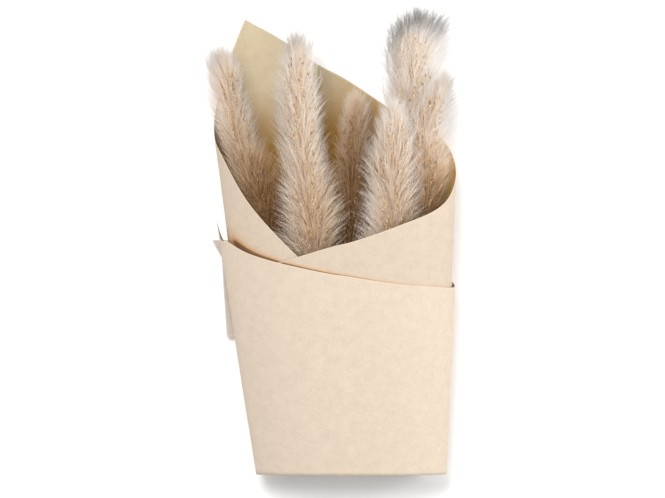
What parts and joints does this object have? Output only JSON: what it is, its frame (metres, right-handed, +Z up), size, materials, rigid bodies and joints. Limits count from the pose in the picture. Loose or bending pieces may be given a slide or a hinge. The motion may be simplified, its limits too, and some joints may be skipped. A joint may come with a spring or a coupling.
{
  "type": "bundle of pampas grass in a paper wrap",
  "caption": "Dried pampas plumes on cut culms, rolled into an open sleeve of two overlapping kraft paper sheets, lying on its back.",
  "frame": {"origin": "on the surface that the bundle lies on, under the middle of its box", "axes": "+Y along the bundle from the cut stem ends to the plume tips, +Z up out of the surface towards the open front of the wrap, +X to the right seen from above"},
  "size_m": [0.2464, 0.453, 0.1055],
  "materials": {
    "kraft_paper_inner": "uncoated light kraft paper, matt",
    "kraft_paper_outer": "uncoated light kraft paper, matt",
    "plume_hair": "fine dried silky hair, matt with a soft sheen",
    "dried_culm": "dried grass stem, smooth and slightly glossy"
  },
  "bodies": {
    "root": {"wrap_inner": "kraft_paper_inner", "wrap_outer": "kraft_paper_outer", "plume_1_head": "plume_hair", "plume_1_culm": "dried_culm", "plume_2_head": "plume_hair", "plume_2_culm": "dried_culm", "plume_3_head": "plume_hair", "plume_3_culm": "dried_culm", "plume_4_head": "plume_hair", "plume_4_culm": "dried_culm", "plume_5_head": "plume_hair", "plume_5_culm": "dried_culm", "plume_6_head": "plume_hair", "plume_6_culm": "dried_culm"}
  },
  "joints": []
}
